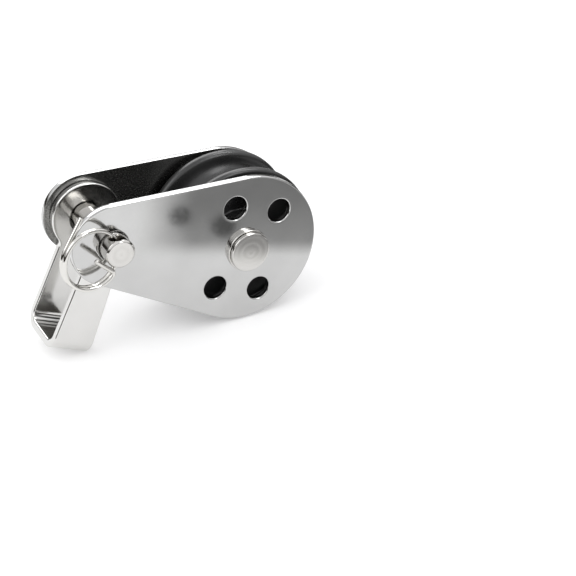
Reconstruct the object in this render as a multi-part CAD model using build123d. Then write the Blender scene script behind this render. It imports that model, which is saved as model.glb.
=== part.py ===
from build123d import *
import math
import os

# Single sheave block with a swivelling bail, in millimetres, +Z up.
# The origin is the centre of the sheave, halfway between the cheek plates.
# Y runs along the axle, with the end that carries the split ring at -Y.
# The block stands on its sheave and on the crown of its bail, pin end raised towards -X.

# cheek plates: two circles joined by their tangents
big_radius = 12.0
small_radius = 6.35
centre_distance = 22.4
plate_thickness = 1.0
outer_width = 12.6
block_tilt = 15.45
plate_edge_radius = 0.22

# four round holes in each cheek, around the axle
hole_radius = 1.9
hole_reach_along = 3.86
hole_reach_across = 6.6
hole_chamfer = 0.22

# sheave
sheave_radius = 12.35
rim_width = 8.6
land_width = 1.3
groove_root_radius = 8.7
groove_curve_radius = 2.7
groove_mouth_flare = 0.15
rim_corner_radius = 0.3
hub_radius = 5.5
web_recess_depth = 1.0
web_outer_radius = 10.9
side_clearance = 0.1

# axle: spacer sleeve between the plates, rivet through it, a collar under each head
rivet_radius = 2.4
sleeve_outer_radius = 3.6
fixed_clearance = 0.03
running_clearance = 0.08
collar_radius = 3.4
collar_thickness = 0.5
collar_chamfer = 0.1
head_radius = 3.2
head_height = 0.75
head_neck_height = 0.14
head_neck_radius = 2.85
head_dish_depth = 0.12
head_dish_radius = 1.76
head_dish_mouth_radius = 2.3
head_chamfer = 0.15
neck_chamfer = 0.02
upset_skirt_height = 0.3
upset_shoulder = (2.72, 0.6)
upset_crown = (1.6, 0.78)
upset_height = 0.82

# removable pin
pin_radius = 2.2
pin_chamfer = 0.28
pin_stick_out = 2.8
pin_head_radius = 3.4
pin_head_height = 1.2
pin_head_chamfer = 0.3
pin_head_gap = 0.1
cross_hole_radius = 1.05
cross_hole_offset = 1.35

# bail: a strap bent to a U, with round ears on the pin
bail_length = 18.6
bail_width = 10.3
strap_thickness = 1.2
bend_outer_radius = 2.5
ear_radius = 5.4
leg_half_width_at_pin = 2.45
leg_half_width_at_crown = 3.2
ear_hole_chamfer = 0.5
ear_fillet = 1.6

# split ring: about one and a half turns of wire with a bent inner end and a straight tail
wire_radius = 0.35
ring_radius = 4.42
ring_pitch = 0.74
ring_reach = 4.35
ring_angle = 9.7
coil_start = -215.0
coil_end = 317.0
tail_length = 4.9
hook_tip = (0.3, -0.2)
hook_rise = 0.15

same_size = 0.01  # edges whose radius or place is this close count as the same
spare = 1.0  # how far cutting shapes run past the surface that they cut

half_outer = outer_width / 2
half_inner = half_outer - plate_thickness
pin_x = -centre_distance * math.cos(math.radians(block_tilt))
pin_z = centre_distance * math.sin(math.radians(block_tilt))

# the bail leans until the edge of its crown is level with the bottom of the sheave
crown_drop = pin_z + sheave_radius
crown_corner = math.hypot(bail_length, leg_half_width_at_crown)
bail_lean = math.degrees(math.atan2(leg_half_width_at_crown, bail_length)
                         + math.acos(crown_drop / crown_corner))


def disc(radius, y_from, y_to, x=0.0, z=0.0):
    """A cylinder along Y between two depths."""
    sketch = Plane.XZ.offset(-y_to) * Pos(x, z) * Circle(radius)
    return extrude(sketch, y_to - y_from)


def turned(profile):
    """Revolve (radius, y) points about the Y axis."""
    line = Polyline([(radius, y) for radius, y in profile], close=True)
    return revolve(make_face(line), Axis.Y)


def in_block(shape):
    """Tilt a shape that was made with the block level."""
    return shape.rotate(Axis.Y, block_tilt)


def on_pin(shape):
    """Move a shape that was made with the pin at the origin."""
    return shape.moved(Location((pin_x, 0, pin_z)))


def cheek_plate(side):
    """A cheek plate; side is -1 for the front plate and 1 for the rear one."""
    ends = Circle(big_radius) + Pos(-centre_distance, 0) * Circle(small_radius)
    outline = make_hull(ends.edges())
    outline -= Circle(rivet_radius + fixed_clearance)
    outline -= Pos(-centre_distance, 0) * Circle(pin_radius + running_clearance)
    for along in (-1, 1):
        for up in (-1, 1):
            outline -= Pos(along * hole_reach_along, up * hole_reach_across) * Circle(hole_radius)
    far_face = -half_inner if side < 0 else half_outer
    plate = extrude(Plane.XZ.offset(-far_face) * outline, plate_thickness)
    faces = plate.faces().filter_by(Axis.Y).sort_by(Axis.Y)
    outer_face = faces[0] if side < 0 else faces[-1]
    rims = [edge for wire in outer_face.inner_wires() for edge in wire.edges()]
    washed = [edge for edge in rims if abs(edge.radius - hole_radius) < same_size]
    plate = chamfer(washed, hole_chamfer)
    faces = plate.faces().filter_by(Axis.Y).sort_by(Axis.Y)
    outer_face = faces[0] if side < 0 else faces[-1]
    plate = fillet(outer_face.outer_wire().edges(), plate_edge_radius)
    return in_block(plate)


def sheave():
    """Nylon wheel: a hub, a thin web and a rim with a round rope groove."""
    hub_half = half_inner - side_clearance
    rim_half = rim_width / 2
    web_half = rim_half - web_recess_depth
    mouth_half = rim_half - land_width
    bore = sleeve_outer_radius + running_clearance
    outline = Polyline([
        (bore, -hub_half),
        (hub_radius, -hub_half),
        (hub_radius, -web_half),
        (web_outer_radius, -web_half),
        (web_outer_radius, -rim_half),
        (sheave_radius, -rim_half),
        (sheave_radius, rim_half),
        (web_outer_radius, rim_half),
        (web_outer_radius, web_half),
        (hub_radius, web_half),
        (hub_radius, hub_half),
        (bore, hub_half),
    ], close=True)
    curve_centre = groove_root_radius + groove_curve_radius
    groove = Pos(curve_centre, 0) * Circle(groove_curve_radius)
    mouth = Polyline([
        (curve_centre, -groove_curve_radius),
        (sheave_radius + spare, -mouth_half - groove_mouth_flare),
        (sheave_radius + spare, mouth_half + groove_mouth_flare),
        (curve_centre, groove_curve_radius),
    ], close=True)
    section = make_face(outline) - groove - make_face(mouth)
    wheel = revolve(section, Axis.Y)
    rims = [edge for edge in wheel.edges().filter_by(GeomType.CIRCLE)
            if abs(edge.radius - sheave_radius) < same_size]
    outer_rims = [edge for edge in rims if abs(abs(edge.center().Y) - rim_half) < same_size]
    return fillet(outer_rims, rim_corner_radius)


def spacer_sleeve():
    """Steel tube between the cheeks; the sheave turns on it."""
    tube = disc(sleeve_outer_radius, -half_inner, half_inner)
    return tube - disc(rivet_radius + fixed_clearance, -half_inner, half_inner)


def collar(side):
    """Thin washer between a cheek and a rivet head."""
    near, far = sorted((side * half_outer, side * (half_outer + collar_thickness)))
    washer = disc(collar_radius, near, far) - disc(rivet_radius + fixed_clearance, near, far)
    faces = washer.faces().filter_by(Axis.Y).sort_by(Axis.Y)
    outer_face = faces[0] if side < 0 else faces[-1]
    return chamfer(outer_face.outer_wire().edges(), collar_chamfer)


def axle_rivet():
    """Shaft through sleeve and plates, with a turned head in front and an upset one behind."""
    seat = half_outer + collar_thickness
    neck = seat + head_neck_height
    top = seat + head_height
    return turned([
        (0, -top + head_dish_depth),
        (head_dish_radius, -top + head_dish_depth),
        (head_dish_mouth_radius, -top),
        (head_radius - head_chamfer, -top),
        (head_radius, -top + head_chamfer),
        (head_radius, -neck),
        (head_neck_radius, -neck + neck_chamfer),
        (head_neck_radius, -seat),
        (rivet_radius, -seat),
        (rivet_radius, seat),
        (head_radius, seat),
        (head_radius, seat + upset_skirt_height),
        (upset_shoulder[0], seat + upset_shoulder[1]),
        (upset_crown[0], seat + upset_crown[1]),
        (0, seat + upset_height),
    ])


def clevis_pin():
    """Headed pin through both cheeks and both ears, with a cross hole for the split ring."""
    head_from = half_outer + pin_head_gap
    head_to = head_from + pin_head_height
    end = -(half_outer + pin_stick_out)
    pin = turned([
        (0, end),
        (pin_radius - pin_chamfer, end),
        (pin_radius, end + pin_chamfer),
        (pin_radius, head_from),
        (pin_head_radius, head_from),
        (pin_head_radius, head_to - pin_head_chamfer),
        (pin_head_radius - pin_head_chamfer, head_to),
        (0, head_to),
    ])
    hole_y = -(half_outer + cross_hole_offset)
    hole = Pos(0, hole_y, 0) * Cylinder(cross_hole_radius, 4 * pin_radius)
    return on_pin(pin - hole)


def bail_strap():
    """Flat strap bent to a U. It is made hanging straight down, then leaned."""
    half = bail_width / 2
    top = ear_radius + spare
    outer = Rectangle(bail_width, bail_length + top)
    outer = Pos(0, (top - bail_length) / 2) * outer
    outer = fillet(outer.vertices().sort_by(Axis.Y)[:2], bend_outer_radius)
    inner_length = bail_length - strap_thickness + top
    inner = Rectangle(bail_width - 2 * strap_thickness, inner_length)
    inner = Pos(0, top - inner_length / 2) * inner
    inner = fillet(inner.vertices().sort_by(Axis.Y)[:2], bend_outer_radius - strap_thickness)
    u_shape = extrude(Plane.YZ * (outer - inner), ear_radius + spare, both=True)

    leg = make_face(Polyline([
        (-leg_half_width_at_pin, 0),
        (leg_half_width_at_pin, 0),
        (leg_half_width_at_crown, -bail_length - spare),
        (-leg_half_width_at_crown, -bail_length - spare),
    ], close=True))
    side_view = Circle(ear_radius) + leg
    corners = [vertex for vertex in side_view.vertices()
               if -ear_radius < vertex.Y < -0.5 * ear_radius]
    side_view = fillet(corners, ear_fillet)
    blank = extrude(Plane.XZ * side_view, half + spare, both=True)
    strap = u_shape & blank
    bore = pin_radius + running_clearance
    strap -= disc(bore, -half - spare, half + spare)
    inner_half = half - strap_thickness
    for y in (-inner_half, inner_half):
        step = ear_hole_chamfer if y > 0 else -ear_hole_chamfer
        cone = turned([(0, y), (bore + ear_hole_chamfer, y), (bore, y + step), (0, y + step)])
        strap -= cone
    return on_pin(strap.rotate(Axis.Y, bail_lean))


def split_ring():
    """Wire ring; its plane has x towards the pin, y up and z away from the cheek."""
    turns = (coil_end - coil_start) / 360
    coil = Helix(ring_pitch, ring_pitch * turns, ring_radius)
    coil = coil.rotate(Axis.Z, coil_start).moved(Location((0, 0, ring_pitch * coil_start / 360)))
    tail_start = coil @ 0
    tail = Line(tail_start - (coil % 0) * tail_length, tail_start)
    path = Wire([tail, coil])
    section = Plane(origin=tail @ 0, z_dir=tail % 0) * Circle(wire_radius)
    wire = sweep(section, path=path)
    bend = coil @ 1
    tip = Vector(hook_tip[0], hook_tip[1], bend.Z + hook_rise)
    hook_plane = Plane(origin=bend, z_dir=tip - bend)
    hook = extrude(hook_plane * Circle(wire_radius), (tip - bend).length)
    ring = wire + hook + Pos(bend.X, bend.Y, bend.Z) * Sphere(wire_radius)
    turn = math.radians(ring_angle)
    to_pin = Vector(math.cos(turn), math.sin(turn), 0)
    outward = Vector(math.sin(turn), -math.cos(turn), 0)
    cross_hole = Vector(pin_x, -(half_outer + cross_hole_offset), pin_z)
    ring_plane = Plane(origin=cross_hole - to_pin * ring_reach, x_dir=to_pin, z_dir=outward)
    return ring_plane.location * ring


parts = {
    "front_cheek_plate": cheek_plate(-1),
    "rear_cheek_plate": cheek_plate(1),
    "sheave": sheave(),
    "spacer_sleeve": spacer_sleeve(),
    "axle_rivet": axle_rivet(),
    "front_axle_washer": collar(-1),
    "rear_axle_washer": collar(1),
    "clevis_pin": clevis_pin(),
    "bail_strap": bail_strap(),
    "split_ring": split_ring(),
}

os.makedirs("parts", exist_ok=True)
for name, shape in parts.items():
    export_step(shape, f"parts/{name}.step")

print("pin centre x, z:", round(pin_x, 3), round(pin_z, 3))
print("bail lean from vertical:", round(bail_lean, 2))
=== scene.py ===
import math
import bmesh
import bpy
from mathutils import Matrix, Quaternion, Vector


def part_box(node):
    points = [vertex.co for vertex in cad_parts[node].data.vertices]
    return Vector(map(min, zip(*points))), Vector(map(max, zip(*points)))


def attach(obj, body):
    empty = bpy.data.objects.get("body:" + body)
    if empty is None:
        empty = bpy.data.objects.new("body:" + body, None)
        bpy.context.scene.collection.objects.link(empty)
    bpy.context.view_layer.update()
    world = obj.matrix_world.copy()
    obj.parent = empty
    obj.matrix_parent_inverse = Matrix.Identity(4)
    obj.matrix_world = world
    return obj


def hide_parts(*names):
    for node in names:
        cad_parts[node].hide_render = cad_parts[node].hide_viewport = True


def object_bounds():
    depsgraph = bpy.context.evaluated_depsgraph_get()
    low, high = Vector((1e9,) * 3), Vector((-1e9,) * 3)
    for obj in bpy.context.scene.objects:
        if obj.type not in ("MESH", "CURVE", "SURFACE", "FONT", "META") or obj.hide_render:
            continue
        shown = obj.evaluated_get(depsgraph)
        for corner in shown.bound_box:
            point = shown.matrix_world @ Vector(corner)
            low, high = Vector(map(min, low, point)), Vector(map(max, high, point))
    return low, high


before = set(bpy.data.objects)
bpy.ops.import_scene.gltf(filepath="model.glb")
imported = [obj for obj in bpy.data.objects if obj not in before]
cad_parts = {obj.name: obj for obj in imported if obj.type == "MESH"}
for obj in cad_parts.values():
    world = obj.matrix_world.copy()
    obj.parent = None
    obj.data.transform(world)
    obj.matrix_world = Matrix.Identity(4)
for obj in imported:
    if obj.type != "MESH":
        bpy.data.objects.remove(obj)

mm = 0.001
cadLow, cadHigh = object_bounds()
fullTurn = 2 * math.pi
acrossBlock = Vector((0, 1, 0))


def middleOf(node):
    low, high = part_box(node)
    return (low + high) / 2


# the two axes that everything turns on, as (x, z) in mm
axleAt = Vector((0, 0, 0))
pinMiddle = middleOf("clevis_pin") / mm
pinAt = Vector((pinMiddle.x, 0, pinMiddle.z))


# node helpers that the finishes share
def newMaterial(name):
    material = bpy.data.materials.new(name)
    material.use_nodes = True
    tree = material.node_tree
    return material, tree, tree.nodes["Principled BSDF"]


def addNode(tree, kind, inputs=None, **settings):
    node = tree.nodes.new(kind)
    for key, value in settings.items():
        setattr(node, key, value)
    for key, value in (inputs or {}).items():
        node.inputs[key].default_value = value
    return node


def objectSpace(tree, centre=(0, 0, 0), stretch=(1, 1, 1), turn=(0, 0, 0)):
    coords = addNode(tree, "ShaderNodeTexCoord")
    moved = addNode(tree, "ShaderNodeVectorMath", operation="SUBTRACT")
    moved.inputs[1].default_value = centre
    mapping = addNode(tree, "ShaderNodeMapping", {"Scale": stretch, "Rotation": turn})
    tree.links.new(coords.outputs["Object"], moved.inputs[0])
    tree.links.new(moved.outputs[0], mapping.inputs["Vector"])
    return mapping.outputs["Vector"]


def noise(tree, vector, scale, detail=3.0, rough=0.5):
    node = addNode(tree, "ShaderNodeTexNoise", {"Scale": scale, "Detail": detail, "Roughness": rough})
    tree.links.new(vector, node.inputs["Vector"])
    return node.outputs["Fac"]


def rings(tree, vector, scale, distortion):
    node = addNode(tree, "ShaderNodeTexWave",
                   {"Scale": scale, "Distortion": distortion, "Detail": 2.0, "Detail Scale": 1.5},
                   wave_type="RINGS", rings_direction="Y")
    tree.links.new(vector, node.inputs["Vector"])
    return node.outputs["Fac"]


def remap(tree, value, low, high, toLow, toHigh):
    node = addNode(tree, "ShaderNodeMapRange",
                   {"From Min": low, "From Max": high, "To Min": toLow, "To Max": toHigh})
    tree.links.new(value, node.inputs["Value"])
    return node.outputs["Result"]


def addUp(tree, first, second):
    node = addNode(tree, "ShaderNodeMath", operation="ADD")
    tree.links.new(first, node.inputs[0])
    tree.links.new(second, node.inputs[1])
    return node.outputs["Value"]


def tint(tree, value, dark, light):
    node = addNode(tree, "ShaderNodeMix", data_type="RGBA")
    node.inputs["A"].default_value = (*dark, 1)
    node.inputs["B"].default_value = (*light, 1)
    tree.links.new(value, node.inputs["Factor"])
    return node.outputs["Result"]


def bump(tree, height, strength, distance, after=None):
    node = addNode(tree, "ShaderNodeBump", {"Strength": strength, "Distance": distance})
    tree.links.new(height, node.inputs["Height"])
    if after is not None:
        tree.links.new(after, node.inputs["Normal"])
    return node.outputs["Normal"]


# stainless finishes: colour and roughness drift slowly, with a fine grain and faint scratches on top; the
# darker entries for the cheeks' inner faces and for the cross hole are painted shade
steelGrain = {"drift": 140, "fineRough": 0.6, "fineShift": 0.015, "scratch": 900, "scratchRough": 0.7,
              "scratchStretch": (1, 1, 14), "scratchTurn": (0, 0.4, 0), "bump": 0.5}
# the middle of a noise pattern, which is what the drift is read over
noiseLow, noiseHigh = 0.3, 0.7
steels = {
    "cheekSteel": {"dark": (0.50, 0.50, 0.495), "light": (0.56, 0.56, 0.555), "rough": (0.09, 0.13),
                   "grain": 2600, "grainDepth": 1.2e-6, "scratchDepth": 0.8e-6},
    # the cheeks' inner faces: a darker copy of the cheek steel, painted shade between the two cheeks
    "cheekInsidePaintedShade": {"dark": (0.26, 0.26, 0.255), "light": (0.29, 0.29, 0.28), "rough": (0.25, 0.28),
                    "grain": 2600, "grainDepth": 0.3e-6, "scratchDepth": 0.3e-6},
    "bailSteel": {"dark": (0.64, 0.635, 0.62), "light": (0.70, 0.695, 0.68), "rough": (0.10, 0.16),
                  "grain": 1800, "grainDepth": 0.6e-6, "scratchDepth": 0.8e-6},
    "ringWire": {"dark": (0.62, 0.61, 0.585), "light": (0.70, 0.69, 0.66), "rough": (0.05, 0.1),
                 "grain": 2200, "grainDepth": 0.5e-6, "scratchDepth": 0.4e-6},
    # inside the pin's cross hole: near-black steel, painted shade in the hole
    "borePaintedShade": {"dark": (0.10, 0.09, 0.08), "light": (0.16, 0.15, 0.135), "rough": (0.25, 0.4),
                  "grain": 2200, "grainDepth": 1.5e-6, "scratchDepth": 0.8e-6},
}


def makeSteel(name):
    look, grain = steels[name], steelGrain
    material, tree, shader = newMaterial(name)
    shader.inputs["Metallic"].default_value = 1.0
    plain = objectSpace(tree)
    slow = noise(tree, plain, grain["drift"])
    fine = noise(tree, plain, look["grain"], 4, grain["fineRough"])
    drawn = objectSpace(tree, stretch=grain["scratchStretch"], turn=grain["scratchTurn"])
    scratch = noise(tree, drawn, grain["scratch"], 5, grain["scratchRough"])
    tree.links.new(tint(tree, remap(tree, slow, noiseLow, noiseHigh, 0, 1), look["dark"], look["light"]),
                   shader.inputs["Base Color"])
    roughness = addUp(tree, remap(tree, slow, noiseLow, noiseHigh, *look["rough"]),
                      remap(tree, fine, noiseLow, noiseHigh, -grain["fineShift"], grain["fineShift"]))
    tree.links.new(roughness, shader.inputs["Roughness"])
    grained = bump(tree, fine, grain["bump"], look["grainDepth"])
    tree.links.new(bump(tree, scratch, grain["bump"], look["scratchDepth"], grained), shader.inputs["Normal"])
    return material


# turned parts keep faint tool rings round their own axis
turnedLook = {"dark": (0.57, 0.56, 0.54), "light": (0.61, 0.60, 0.58), "rough": (0.10, 0.15),
              "ringScale": 420, "broad": 0.7, "fineWobble": 0.6, "broadWobble": 0.8, "ringDepth": 1.6e-6,
              "ringBump": 0.5, "grain": 2400, "grainDepth": 0.7e-6, "grainBump": 0.4}


def makeTurnedSteel(name, centre):
    look = turnedLook
    material, tree, shader = newMaterial(name)
    shader.inputs["Metallic"].default_value = 1.0
    space = objectSpace(tree, centre=centre * mm)
    lathe = rings(tree, space, look["ringScale"], look["fineWobble"])
    broad = rings(tree, space, look["ringScale"] * look["broad"], look["broadWobble"])
    fine = noise(tree, space, look["grain"])
    tree.links.new(tint(tree, broad, look["dark"], look["light"]), shader.inputs["Base Color"])
    tree.links.new(remap(tree, broad, 0, 1, *look["rough"]), shader.inputs["Roughness"])
    ringed = bump(tree, lathe, look["ringBump"], look["ringDepth"])
    tree.links.new(bump(tree, fine, look["grainBump"], look["grainDepth"], ringed), shader.inputs["Normal"])
    return material


nylonLook = {"dark": (0.010, 0.010, 0.010), "light": (0.024, 0.024, 0.024), "rough": (0.24, 0.36),
             "ringScale": 260, "wobble": 1.5, "ringDepth": 6e-6, "ringBump": 0.3, "drift": 170, "grain": 1500,
             "grainRough": 0.6, "grainDepth": 5e-6, "grainBump": 0.4, "shine": 0.6}


def makeNylon():
    look = nylonLook
    material, tree, shader = newMaterial("sheaveNylon")
    space = objectSpace(tree)
    slow = noise(tree, space, look["drift"], 4, look["grainRough"])
    fine = noise(tree, space, look["grain"], 4, look["grainRough"])
    swirl = rings(tree, space, look["ringScale"], look["wobble"])
    tree.links.new(tint(tree, slow, look["dark"], look["light"]), shader.inputs["Base Color"])
    tree.links.new(remap(tree, slow, noiseLow, noiseHigh, *look["rough"]), shader.inputs["Roughness"])
    moulded = bump(tree, swirl, look["ringBump"], look["ringDepth"])
    tree.links.new(bump(tree, fine, look["grainBump"], look["grainDepth"], moulded), shader.inputs["Normal"])
    shader.inputs["Specular IOR Level"].default_value = look["shine"]
    return material


cheekSteel, cheekInsidePaintedShade, bailSteel, ringWire, borePaintedShade = [makeSteel(name) for name in steels]
axleSteel = makeTurnedSteel("axleSteel", axleAt)
pinSteel = makeTurnedSteel("pinSteel", pinAt)
sheaveNylon = makeNylon()
print("finishes ready")


# shared mesh steps; pieces are drawn in mm and brought to metres at the end
def cleanUp(bm):
    bmesh.ops.remove_doubles(bm, verts=bm.verts, dist=0.001)
    bmesh.ops.recalc_face_normals(bm, faces=bm.faces)


def makePiece(name, bm, body, replaced, finishes, sharpAngle=40):
    bmesh.ops.scale(bm, vec=(mm, mm, mm), verts=bm.verts)
    mesh = bpy.data.meshes.new(name)
    bm.to_mesh(mesh)
    bm.free()
    mesh.shade_smooth()
    mesh.set_sharp_from_angle(angle=math.radians(sharpAngle))
    for finish in finishes:
        mesh.materials.append(finish)
    piece = bpy.data.objects.new(name, mesh)
    bpy.context.scene.collection.objects.link(piece)
    shading = piece.modifiers.new("evenShading", "WEIGHTED_NORMAL")
    shading.keep_sharp = True
    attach(piece, body)
    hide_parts(replaced)
    return piece


def roundEdges(bm, edges, size, segments=4):
    bmesh.ops.bevel(bm, geom=edges, offset=size, offset_type="OFFSET", segments=segments, profile=0.5,
                    affect="EDGES", clamp_overlap=True, material=-1)


def sharpEdges(bm, test=None):
    found = [edge for edge in bm.edges if edge.is_manifold and edge.calc_face_angle() > math.radians(50)]
    return [edge for edge in found if test is None or test(edge)]


def edgeMiddle(edge):
    return (edge.verts[0].co + edge.verts[1].co) / 2


def drawProfile(bm, points, closed):
    # points are (radius, depth, corner rounding)
    corners = [bm.verts.new((radius, depth, 0)) for radius, depth, rounding in points]
    for first, second in zip(corners, corners[1:]):
        bm.edges.new((first, second))
    if closed:
        bm.edges.new((corners[-1], corners[0]))
    for corner, (radius, depth, rounding) in zip(corners, points):
        if rounding > 0:
            bmesh.ops.bevel(bm, geom=[corner], offset=rounding, offset_type="OFFSET", segments=4,
                            profile=0.5, affect="VERTICES", material=-1)


def spinAbout(bm, centre, steps):
    bmesh.ops.translate(bm, verts=bm.verts, vec=centre)
    bmesh.ops.spin(bm, geom=bm.verts[:] + bm.edges[:], cent=centre, axis=acrossBlock, angle=fullTurn,
                   steps=steps, use_merge=True, use_duplicate=False)
    cleanUp(bm)


sheaveSizes = {"bore": 3.68, "hub": 5.5, "hubHalf": 5.2, "web": 10.9, "webHalf": 3.3, "rim": 12.35,
               "rimHalf": 4.3, "mouthHalf": 2.92, "curveCentre": 11.4, "curve": 2.7, "rimRounding": 0.6,
               "lipRounding": 0.55, "curveSteps": 28, "steps": 224}


def makeSheave():
    s = sheaveSizes
    bm = bmesh.new()
    half = [(s["bore"], s["hubHalf"], 0.12), (s["hub"], s["hubHalf"], 0.2), (s["hub"], s["webHalf"], 0.35),
            (s["web"], s["webHalf"], 0.3), (s["web"], s["rimHalf"], 0.12),
            (s["rim"], s["rimHalf"], s["rimRounding"]), (s["rim"], s["mouthHalf"], s["lipRounding"]),
            (s["curveCentre"], s["curve"], 0)]
    lower = [(radius, -depth, rounding) for radius, depth, rounding in half]
    drawProfile(bm, lower, False)
    drawProfile(bm, half, False)
    bm.verts.ensure_lookup_table()
    grooveStart = min(bm.verts, key=lambda v: (v.co - Vector((s["curveCentre"], -s["curve"], 0))).length)
    bmesh.ops.spin(bm, geom=[grooveStart], cent=(s["curveCentre"], 0, 0), axis=(0, 0, 1),
                   angle=-math.pi, steps=s["curveSteps"], use_duplicate=False)
    bore = [min(bm.verts, key=lambda v: (v.co - Vector((s["bore"], side * s["hubHalf"] * 0.97, 0))).length)
            for side in (-1, 1)]
    bm.edges.new(bore)
    bmesh.ops.remove_doubles(bm, verts=bm.verts, dist=0.001)
    spinAbout(bm, axleAt, s["steps"])
    makePiece("sheaveWheel", bm, "sheave", "sheave", [sheaveNylon])


makeSheave()
print("sheave ready")

# turned parts as (radius, depth along the axle, corner rounding), from the front end to the back
turnedParts = {
    "axleRivet": {"node": "axle_rivet", "body": "frame", "closed": False, "steps": 160, "points": [
        (0, -7.54, 0), (1.8, -7.54, 0.5), (2.6, -7.55, 0.3), (3.2, -7.55, 0.2), (3.2, -6.94, 0.06),
        (2.85, -6.92, 0), (2.85, -6.8, 0), (2.4, -6.8, 0), (2.4, 6.8, 0), (3.2, 6.8, 0.05),
        (3.2, 7.1, 0.12), (2.72, 7.4, 0.3), (1.6, 7.58, 0.5), (0, 7.62, 0)]},
    "frontCollar": {"node": "front_axle_washer", "body": "frame", "closed": True, "steps": 144, "points": [
        (2.43, -6.8, 0.04), (3.4, -6.8, 0.13), (3.4, -6.3, 0.03), (2.43, -6.3, 0.03)]},
    "rearCollar": {"node": "rear_axle_washer", "body": "frame", "closed": True, "steps": 144, "points": [
        (2.43, 6.3, 0.03), (3.4, 6.3, 0.03), (3.4, 6.8, 0.13), (2.43, 6.8, 0.04)]},
    "spacerTube": {"node": "spacer_sleeve", "body": "frame", "closed": True, "steps": 144, "points": [
        (2.43, -5.3, 0.1), (3.6, -5.3, 0.1), (3.6, 5.3, 0.1), (2.43, 5.3, 0.1)]},
}

for name, part in turnedParts.items():
    bm = bmesh.new()
    drawProfile(bm, part["points"], part["closed"])
    spinAbout(bm, axleAt, part["steps"])
    makePiece(name, bm, part["body"], part["node"], [axleSteel], sharpAngle=45)
print("axle ready")

pinSizes = {"steps": 160, "drillSteps": 64, "sharpAngle": 35, "hole": 1.05, "holeDepth": -7.65,
            "flare": 1.4, "flareFrom": 1.8, "past": 2.4,
            "points": [(0, -9.1, 0), (1.93, -9.1, 0.08), (2.2, -8.83, 0.08), (2.2, -5.9, 0), (2.2, 6.4, 0.1),
                       (3.4, 6.4, 0.08), (3.4, 7.6, 0.32), (0, 7.6, 0)]}


def makePin():
    p = pinSizes
    bm = bmesh.new()
    drawProfile(bm, p["points"], False)
    spinAbout(bm, pinAt, p["steps"])
    pin = makePiece("lockPin", bm, "pin", "clevis_pin", [pinSteel], sharpAngle=45)
    # a countersunk drill shape cuts the cross hole
    drill = bmesh.new()
    edge = [(0, -p["past"]), (p["flare"], -p["past"]), (p["hole"], -p["flareFrom"]),
            (p["hole"], p["flareFrom"]), (p["flare"], p["past"]), (0, p["past"])]
    line = [drill.verts.new((radius, 0, height)) for radius, height in edge]
    for first, second in zip(line, line[1:]):
        drill.edges.new((first, second))
    bmesh.ops.spin(drill, geom=drill.verts[:] + drill.edges[:], cent=(0, 0, 0), axis=(0, 0, 1),
                   angle=fullTurn, steps=p["drillSteps"], use_merge=True, use_duplicate=False)
    # half a step round, so that no edge of the drill lies on an edge of the pin
    halfStep = Matrix.Rotation(math.pi / p["drillSteps"], 3, "Z")
    bmesh.ops.rotate(drill, verts=drill.verts, cent=(0, 0, 0), matrix=halfStep)
    cleanUp(drill)
    bmesh.ops.translate(drill, verts=drill.verts, vec=pinAt + Vector((0, p["holeDepth"], 0)))
    bmesh.ops.scale(drill, vec=(mm, mm, mm), verts=drill.verts)
    drillMesh = bpy.data.meshes.new("drill")
    drill.to_mesh(drillMesh)
    drill.free()
    drillPiece = bpy.data.objects.new("drill", drillMesh)
    bpy.context.scene.collection.objects.link(drillPiece)
    cut = pin.modifiers.new("crossHole", "BOOLEAN")
    cut.operation = "DIFFERENCE"
    cut.solver = "EXACT"
    cut.object = drillPiece
    pin.modifiers.remove(pin.modifiers["evenShading"])  # put back once the hole is in the mesh
    bpy.context.view_layer.update()
    drilled = bpy.data.meshes.new_from_object(pin.evaluated_get(bpy.context.evaluated_depsgraph_get()))
    pin.modifiers.clear()
    pin.data = drilled
    bpy.data.objects.remove(drillPiece)
    # the cross hole's own faces take the near-black second finish: painted shade inside the hole
    drilled.materials.append(borePaintedShade)
    holeAt = (pinAt + Vector((0, p["holeDepth"], 0))) * mm
    for face in drilled.polygons:
        if (face.center - holeAt).xy.length < p["hole"] * mm * 1.02:
            face.material_index = 1
    drilled.shade_smooth()
    drilled.set_sharp_from_angle(angle=math.radians(p["sharpAngle"]))
    shading = pin.modifiers.new("evenShading", "WEIGHTED_NORMAL")
    shading.keep_sharp = True


makePin()
print("pin ready")

cheekSizes = {"big": 12.0, "small": 6.35, "between": 22.4, "tilt": 15.45, "thick": 1.0, "outer": 6.3,
              "edge": 0.22, "backEdge": 0.06, "rimStrip": 0.45, "bigSteps": 150, "smallSteps": 70,
              "axleHole": 2.43, "pinHole": 2.28, "washHole": 1.9, "washAlong": 3.86, "washAcross": 6.6}


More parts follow.
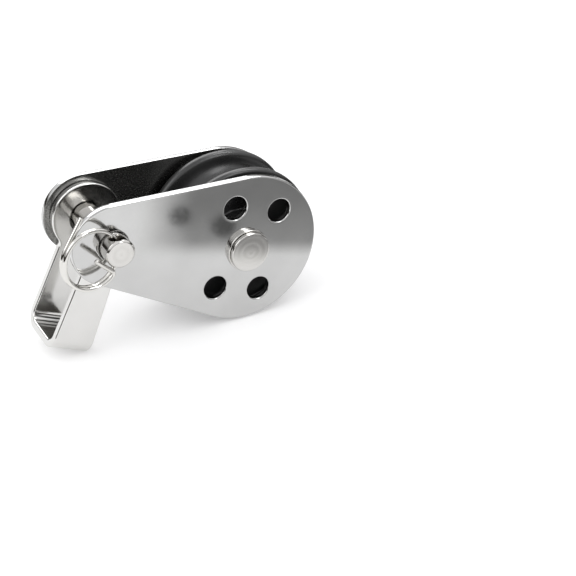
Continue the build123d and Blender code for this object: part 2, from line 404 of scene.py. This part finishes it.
def makeCheek(name, side, node):
    # drawn flat with the outside up, then stood on edge
    c = cheekSizes
    bm = bmesh.new()
    lean = math.asin((c["big"] - c["small"]) / c["between"])
    toTangent = math.pi / 2 + lean
    pinEnd = Vector((-c["between"], 0, 0))
    ends = []
    for centre, radius, start, sweep, steps in (
            (Vector((0, 0, 0)), c["big"], -toTangent, 2 * toTangent, c["bigSteps"]),
            (pinEnd, c["small"], toTangent, fullTurn - 2 * toTangent, c["smallSteps"])):
        first = bm.verts.new(centre + radius * Vector((math.cos(start), math.sin(start), 0)))
        arc = bmesh.ops.spin(bm, geom=[first], cent=centre, axis=(0, 0, 1), angle=sweep, steps=steps,
                             use_duplicate=False)
        last = [item for item in arc["geom_last"] if isinstance(item, bmesh.types.BMVert)][0]
        ends.append((first, last))
    bm.edges.new((ends[0][1], ends[1][0]))
    bm.edges.new((ends[1][1], ends[0][0]))
    holes = [(0, 0, c["axleHole"]), (-c["between"], 0, c["pinHole"])]
    holes += [(along * c["washAlong"], up * c["washAcross"], c["washHole"])
              for along in (-1, 1) for up in (-1, 1)]
    for x, y, radius in holes:
        bmesh.ops.create_circle(bm, cap_ends=False, radius=radius, segments=72,
                                matrix=Matrix.Translation((x, y, 0)))
    bmesh.ops.triangle_fill(bm, edges=bm.edges[:], use_beauty=True, use_dissolve=False, normal=(0, 0, 1))
    bmesh.ops.inset_region(bm, faces=bm.faces[:], thickness=c["rimStrip"], use_boundary=True,
                           use_even_offset=True)
    raised = bmesh.ops.extrude_face_region(bm, geom=bm.faces[:])
    top = [item for item in raised["geom"] if isinstance(item, bmesh.types.BMVert)]
    bmesh.ops.translate(bm, verts=top, vec=(0, 0, c["thick"]))
    cleanUp(bm)
    outerRims = sharpEdges(bm, lambda edge: edgeMiddle(edge).z > c["thick"] * 0.9)
    roundEdges(bm, outerRims, c["edge"], 5)
    innerRims = sharpEdges(bm, lambda edge: edgeMiddle(edge).z < c["thick"] * 0.1)
    roundEdges(bm, innerRims, c["backEdge"], 2)
    # faces pointing down while the sheet lies flat are the inner faces; they take the darker second finish as
    # painted shade
    for face in bm.faces:
        face.material_index = 1 if face.normal.z < -0.9 else 0
    # flat z becomes the outward side of the block
    if side < 0:
        stand = Matrix(((1, 0, 0, 0), (0, 0, -1, -c["outer"] + c["thick"]), (0, 1, 0, 0), (0, 0, 0, 1)))
    else:
        stand = Matrix(((1, 0, 0, 0), (0, 0, 1, c["outer"] - c["thick"]), (0, 1, 0, 0), (0, 0, 0, 1)))
    tilt = Matrix.Rotation(math.radians(c["tilt"]), 4, "Y")
    bmesh.ops.transform(bm, matrix=tilt @ stand, verts=bm.verts)
    if side > 0:
        bmesh.ops.reverse_faces(bm, faces=bm.faces)
    makePiece(name, bm, "frame", node, [cheekSteel, cheekInsidePaintedShade], sharpAngle=60)


makeCheek("frontCheek", -1, "front_cheek_plate")
makeCheek("rearCheek", 1, "rear_cheek_plate")
print("cheeks ready")

bailSizes = {"length": 18.6, "width": 10.3, "thick": 1.2, "bend": 2.5, "ear": 5.4, "fillet": 1.6,
             "legHalfTop": 2.66, "legHalfEnd": 3.13, "pinHole": 2.28, "lean": 23.703,
             "edge": 0.2, "countersink": 0.5, "rimStrip": 0.7, "earSteps": 110, "filletSteps": 10,
             "bendSteps": 16}


def makeBail():
    # one leg and half the crown as a sheet on the outer surface, mirrored, then given its thickness
    b = bailSizes
    half = b["width"] / 2
    bm = bmesh.new()
    filletX = b["legHalfTop"] + b["fillet"]
    filletZ = -math.sqrt((b["ear"] + b["fillet"]) ** 2 - filletX ** 2)
    filletTurn = math.atan2(-filletZ, filletX)
    arcs = [((filletX, -half, filletZ), (0, 1, 0), filletTurn, b["filletSteps"]),
            ((0, -half, 0), (0, -1, 0), math.pi + 2 * filletTurn, b["earSteps"]),
            ((-filletX, -half, filletZ), (0, 1, 0), filletTurn, b["filletSteps"])]
    start = corner = bm.verts.new((b["legHalfTop"], -half, filletZ))
    for centre, axis, sweep, steps in arcs:
        arc = bmesh.ops.spin(bm, geom=[corner], cent=centre, axis=axis, angle=sweep, steps=steps,
                             use_duplicate=False)
        corner = [item for item in arc["geom_last"] if isinstance(item, bmesh.types.BMVert)][0]
    legEnd = -b["length"] + b["bend"]
    endLeft = bm.verts.new((-b["legHalfEnd"], -half, legEnd))
    endRight = bm.verts.new((b["legHalfEnd"], -half, legEnd))
    bm.edges.new((corner, endLeft))
    bendLine = bm.edges.new((endLeft, endRight))
    bm.edges.new((endRight, start))
    upright = Matrix.Translation((0, -half, 0)) @ Matrix.Rotation(math.pi / 2, 4, "X")
    bmesh.ops.create_circle(bm, cap_ends=False, radius=b["pinHole"], segments=80, matrix=upright)
    bmesh.ops.triangle_fill(bm, edges=bm.edges[:], use_beauty=True, use_dissolve=False, normal=(0, -1, 0))
    bent = bmesh.ops.spin(bm, geom=[bendLine, endLeft, endRight], cent=(0, -half + b["bend"], legEnd),
                          axis=(1, 0, 0), angle=math.pi / 2, steps=b["bendSteps"], use_duplicate=False)
    crownEdge = [item for item in bent["geom_last"] if isinstance(item, bmesh.types.BMEdge)]
    crown = bmesh.ops.extrude_edge_only(bm, edges=crownEdge)
    crownVerts = [item for item in crown["geom"] if isinstance(item, bmesh.types.BMVert)]
    bmesh.ops.translate(bm, verts=crownVerts, vec=(0, half - b["bend"], 0))
    bmesh.ops.mirror(bm, geom=bm.verts[:] + bm.edges[:] + bm.faces[:], axis="Y", merge_dist=0.01)
    cleanUp(bm)
    outward = max(bm.faces, key=lambda face: -face.calc_center_median().z)
    if outward.normal.z > 0:
        bmesh.ops.reverse_faces(bm, faces=bm.faces)
    bmesh.ops.inset_region(bm, faces=bm.faces[:], thickness=b["rimStrip"], use_boundary=True,
                           use_even_offset=True)
    bmesh.ops.solidify(bm, geom=bm.faces[:], thickness=b["thick"])
    cleanUp(bm)
    rims = sharpEdges(bm)
    inner = half - b["thick"]
    nearPin = [edge for edge in rims if edgeMiddle(edge).xz.length < b["pinHole"] + 0.1]
    countersunk = [edge for edge in nearPin if abs(edgeMiddle(edge).y) < inner + 0.1]
    roundEdges(bm, countersunk, b["countersink"], 1)
    outline = sharpEdges(bm, lambda edge: edgeMiddle(edge).xz.length > b["pinHole"] + 1.0)
    roundEdges(bm, outline, b["edge"], 4)
    leaned = Matrix.Translation(pinAt) @ Matrix.Rotation(math.radians(b["lean"]), 4, "Y")
    bmesh.ops.transform(bm, matrix=leaned, verts=bm.verts)
    makePiece("swivelBail", bm, "bail", "bail_strap", [bailSteel], sharpAngle=40)


makeBail()
print("bail ready")

# the ring is drawn with x towards the pin, y up and z away from the cheek
ringSizes = {"wire": 0.35, "radius": 4.42, "pitch": 0.74, "reach": 4.35, "turn": 9.7, "from": -215.0,
             "to": 310.0, "tail": 4.9, "hookBend": 0.55, "hookTurn": 96.0, "hookRise": 0.1, "hook": 3.55,
             "sides": 20, "steps": 210, "bendSteps": 10, "endRounding": 0.09, "crossHole": (0, -7.65, 0)}


def makeRing():
    r = ringSizes
    bm = bmesh.new()
    start, end = math.radians(r["from"]), math.radians(r["to"])
    rise = r["pitch"] / fullTurn

    def onCoil(angle, radius=r["radius"]):
        return Vector((radius * math.cos(angle), radius * math.sin(angle), rise * angle))

    def along(angle):
        return Vector((-math.sin(angle), math.cos(angle), 0))

    section = bmesh.ops.create_circle(
        bm, cap_ends=False, radius=r["wire"], segments=r["sides"],
        matrix=Matrix.Translation(onCoil(start)) @ along(start).to_track_quat("Z", "X").to_matrix().to_4x4())
    firstRing = section["verts"]
    tailEdges = list({edge for vert in firstRing for edge in vert.link_edges})
    coil = bmesh.ops.spin(bm, geom=firstRing + tailEdges, cent=(0, 0, 0), axis=(0, 0, 1),
                          dvec=(0, 0, rise * (end - start) / r["steps"]), angle=end - start,
                          steps=r["steps"], use_duplicate=False)
    bent = bmesh.ops.spin(bm, geom=coil["geom_last"], cent=onCoil(end, r["radius"] - r["hookBend"]),
                          axis=(0, 0, 1), dvec=(0, 0, r["hookRise"] / r["bendSteps"]),
                          angle=math.radians(r["hookTurn"]), steps=r["bendSteps"], use_duplicate=False)

    def stretch(edges, offset):
        grown = bmesh.ops.extrude_edge_only(bm, edges=edges)
        verts = [item for item in grown["geom"] if isinstance(item, bmesh.types.BMVert)]
        bmesh.ops.translate(bm, verts=verts, vec=offset)
        return [item for item in grown["geom"] if isinstance(item, bmesh.types.BMEdge)
                and all(vert in verts for vert in item.verts)]

    hookEdges = [item for item in bent["geom_last"] if isinstance(item, bmesh.types.BMEdge)]
    hookEnd = stretch(hookEdges, along(end + math.radians(r["hookTurn"])) * r["hook"])
    tailEnd = stretch(tailEdges, -along(start) * r["tail"])
    bmesh.ops.edgenet_fill(bm, edges=hookEnd)
    bmesh.ops.edgenet_fill(bm, edges=tailEnd)
    cleanUp(bm)
    roundEdges(bm, sharpEdges(bm), r["endRounding"], 3)
    turn = math.radians(r["turn"])
    toPin = Vector((math.cos(turn), math.sin(turn), 0))
    outward = Vector((math.sin(turn), -math.cos(turn), 0))
    origin = pinAt + Vector(r["crossHole"]) - toPin * r["reach"]
    place = Matrix((toPin, (0, 0, 1), outward)).transposed().to_4x4()
    bmesh.ops.transform(bm, matrix=Matrix.Translation(origin) @ place, verts=bm.verts)
    makePiece("splitRing", bm, "ring", "split_ring", [ringWire], sharpAngle=50)


makeRing()
print("ring ready")

# camera, and where it stands from the axle in mm
view = {"azimuth": -30.49, "elevation": 30.64, "roll": -1.46, "lens": 75.6, "distance": 189.7,
        "right": 9.36, "down": 8.77}


def makeCamera():
    turn, lift = math.radians(view["azimuth"]), math.radians(view["elevation"])
    back = Vector((math.sin(turn) * math.cos(lift), -math.cos(turn) * math.cos(lift), math.sin(lift)))
    right = Vector((math.cos(turn), math.sin(turn), 0))
    right.rotate(Quaternion(-back, math.radians(view["roll"])))
    down = (-back).cross(right)
    camera = bpy.data.objects.new("camera", bpy.data.cameras.new("camera"))
    camera.data.lens = view["lens"]
    camera.data.clip_start = 0.005
    camera.location = (back * view["distance"] + right * view["right"] + down * view["down"]) * mm
    camera.rotation_euler = Matrix((right, -down, back)).transposed().to_euler()
    bpy.context.scene.collection.objects.link(camera)
    bpy.context.scene.camera = camera


# everything below is stage: the paper, and things only polished surfaces see
def addStage(name, bm, place, material, onlyGlossy=True):
    mesh = bpy.data.meshes.new(name)
    bm.to_mesh(mesh)
    bm.free()
    mesh.materials.append(material)
    piece = bpy.data.objects.new(name, mesh)
    piece.location = place
    bpy.context.scene.collection.objects.link(piece)
    if onlyGlossy:
        piece.visible_camera = piece.visible_diffuse = piece.visible_shadow = False
        piece.visible_transmission = False
    return piece


def sheetMesh(halfX, halfY):
    bm = bmesh.new()
    bmesh.ops.create_grid(bm, x_segments=1, y_segments=1, size=1)
    bmesh.ops.scale(bm, vec=(halfX, halfY, 1), verts=bm.verts)
    return bm


def newGlow(name, colour=(1, 1, 1), strength=1.0):
    material = bpy.data.materials.new(name)
    material.use_nodes = True
    tree = material.node_tree
    tree.nodes.clear()
    output = addNode(tree, "ShaderNodeOutputMaterial")
    glow = addNode(tree, "ShaderNodeEmission", {"Color": (*colour, 1), "Strength": strength})
    tree.links.new(glow.outputs[0], output.inputs["Surface"])
    return material, tree, glow


floorLook = {"white": 0.86, "glow": 0.25, "roughness": 0.9, "half": 3.0}  # a softly lit sheet


def makeFloor():
    material, tree, shader = newMaterial("floorPaper")
    shader.inputs["Base Color"].default_value = (floorLook["white"],) * 3 + (1,)
    shader.inputs["Roughness"].default_value = floorLook["roughness"]
    shader.inputs["Specular IOR Level"].default_value = 0.0
    shader.inputs["Emission Color"].default_value = (1, 1, 1, 1)
    shader.inputs["Emission Strength"].default_value = floorLook["glow"]
    addStage("floor", sheetMesh(floorLook["half"], floorLook["half"]), (0, 0, cadLow.z), material,
             onlyGlossy=False)


# a grey card lying in front of the block, fading to the white of the paper at its near and left edges
cardLook = {"corner": (-7.6, -32.9), "turn": 27.5, "wide": 90, "deep": 70, "edge": 1.2, "near": 0.48,
            "far": 0.31, "fadeLeft": 9, "fadeDeep": 22, "fadeNear": 5.0, "above": 0.05}


def makeCard():
    k = cardLook
    material, tree, glow = newGlow("greyCard")
    split = addNode(tree, "ShaderNodeSeparateXYZ")
    coords = addNode(tree, "ShaderNodeTexCoord")
    tree.links.new(coords.outputs["Object"], split.inputs[0])
    wide, deep = k["wide"] * mm / 2, k["deep"] * mm / 2
    cover = remap(tree, split.outputs["X"], -wide, -wide + k["fadeLeft"] * mm, 0, 1)
    shade = remap(tree, split.outputs["Y"], deep, deep - k["fadeDeep"] * mm, k["near"], k["far"])
    nearSide = remap(tree, split.outputs["Y"], deep, deep - k["fadeNear"] * mm, 0, 1)
    both = addNode(tree, "ShaderNodeMath", operation="MULTIPLY")
    tree.links.new(cover, both.inputs[0])
    tree.links.new(nearSide, both.inputs[1])
    mix = addNode(tree, "ShaderNodeMix", {"A": k["edge"]}, data_type="FLOAT")
    tree.links.new(both.outputs[0], mix.inputs["Factor"])
    tree.links.new(shade, mix.inputs["B"])
    tree.links.new(mix.outputs["Result"], glow.inputs["Strength"])
    turn = math.radians(k["turn"])
    right = Vector((math.cos(turn), math.sin(turn), 0))
    outward = Vector((math.sin(turn), -math.cos(turn), 0))
    middle = Vector((*k["corner"], 0)) * mm + right * wide + outward * deep
    middle.z = cadLow.z + k["above"] * mm
    card = addStage("greyCard", sheetMesh(wide, deep), middle, material)
    card.rotation_euler = (0, 0, turn)


# two small dark things lying on the card, as (x, y, half width) in mm, drawn out along one direction
darkSpots = [(5.5, -42.7, 2.0), (10.8, -35.5, 2.2)]
spotLook = {"long": 2.0, "turn": -59.5, "glow": 0.09, "above": 0.1, "steps": 32}


def makeSpots():
    k = spotLook
    drawnOut = Matrix.Rotation(math.radians(k["turn"]), 4, "Z") @ Matrix.Diagonal((k["long"], 1, 1, 1))
    for index, (x, y, radius) in enumerate(darkSpots):
        bm = bmesh.new()
        bmesh.ops.create_circle(bm, cap_ends=True, radius=radius * mm, segments=k["steps"], matrix=drawnOut)
        material, tree, glow = newGlow("darkSpot", strength=k["glow"])
        addStage("darkSpot%d" % index, bm, (x * mm, y * mm, cadLow.z + k["above"] * mm), material)


# the dim room round the lit table, low down, which gives polished edges their dark lines
roomLook = {"radius": 0.32, "height": 0.08, "low": (0.045, 0.04, 0.035), "glow": 1.0, "steps": 64}


def makeRoom():
    k = roomLook
    bm = bmesh.new()
    bmesh.ops.create_cone(bm, cap_ends=False, segments=k["steps"], radius1=k["radius"],
                          radius2=k["radius"], depth=k["height"])
    material, tree, glow = newGlow("room", k["low"], k["glow"])
    addStage("room", bm, (0, 0, cadLow.z + k["height"] / 2), material)


# soft boxes aimed at the axle, as (place, size, watts, whether they light the paper too), in metres
softBoxes = {
    "backBox": ((0.05, 0.42, 0.42), (0.55, 0.4), 2.0, False),
    "topBox": ((0.26, -0.02, 0.5), (0.16, 0.26), 1.0, False),
    "leftBox": ((-0.5, -0.1, 0.45), (0.4, 0.4), 0.8, True),
    "frontBox": ((0.17, -0.38, 0.32), (0.12, 0.26), 0.42, False),
}
worldLook = {"low": (0.10, 0.085, 0.07), "high": (0.94, 0.94, 0.95), "lowTo": 0.06, "highFrom": 0.40,
             "strength": 1.18}


def makeLight():
    world = bpy.data.worlds.new("studio")
    bpy.context.scene.world = world
    world.use_nodes = True
    tree = world.node_tree
    background = tree.nodes["Background"]
    background.inputs["Strength"].default_value = worldLook["strength"]
    coords = addNode(tree, "ShaderNodeTexCoord")
    split = addNode(tree, "ShaderNodeSeparateXYZ")
    tree.links.new(coords.outputs["Generated"], split.inputs[0])
    rise = remap(tree, split.outputs["Z"], worldLook["lowTo"], worldLook["highFrom"], 0, 1)
    tree.links.new(tint(tree, rise, worldLook["low"], worldLook["high"]), background.inputs["Color"])
    for name, (place, size, watts, lightsPaper) in softBoxes.items():
        light = bpy.data.lights.new(name, "AREA")
        light.shape = "RECTANGLE"
        light.size, light.size_y = size
        light.energy = watts
        lamp = bpy.data.objects.new(name, light)
        lamp.location = place
        lamp.visible_diffuse = lightsPaper
        lamp.rotation_euler = (-Vector(place)).to_track_quat("-Z", "Y").to_euler()
        bpy.context.scene.collection.objects.link(lamp)
    bpy.context.scene.view_settings.view_transform = "Standard"


makeCamera()
makeFloor()
makeCard()
makeSpots()
makeRoom()
makeLight()
print("stage ready")
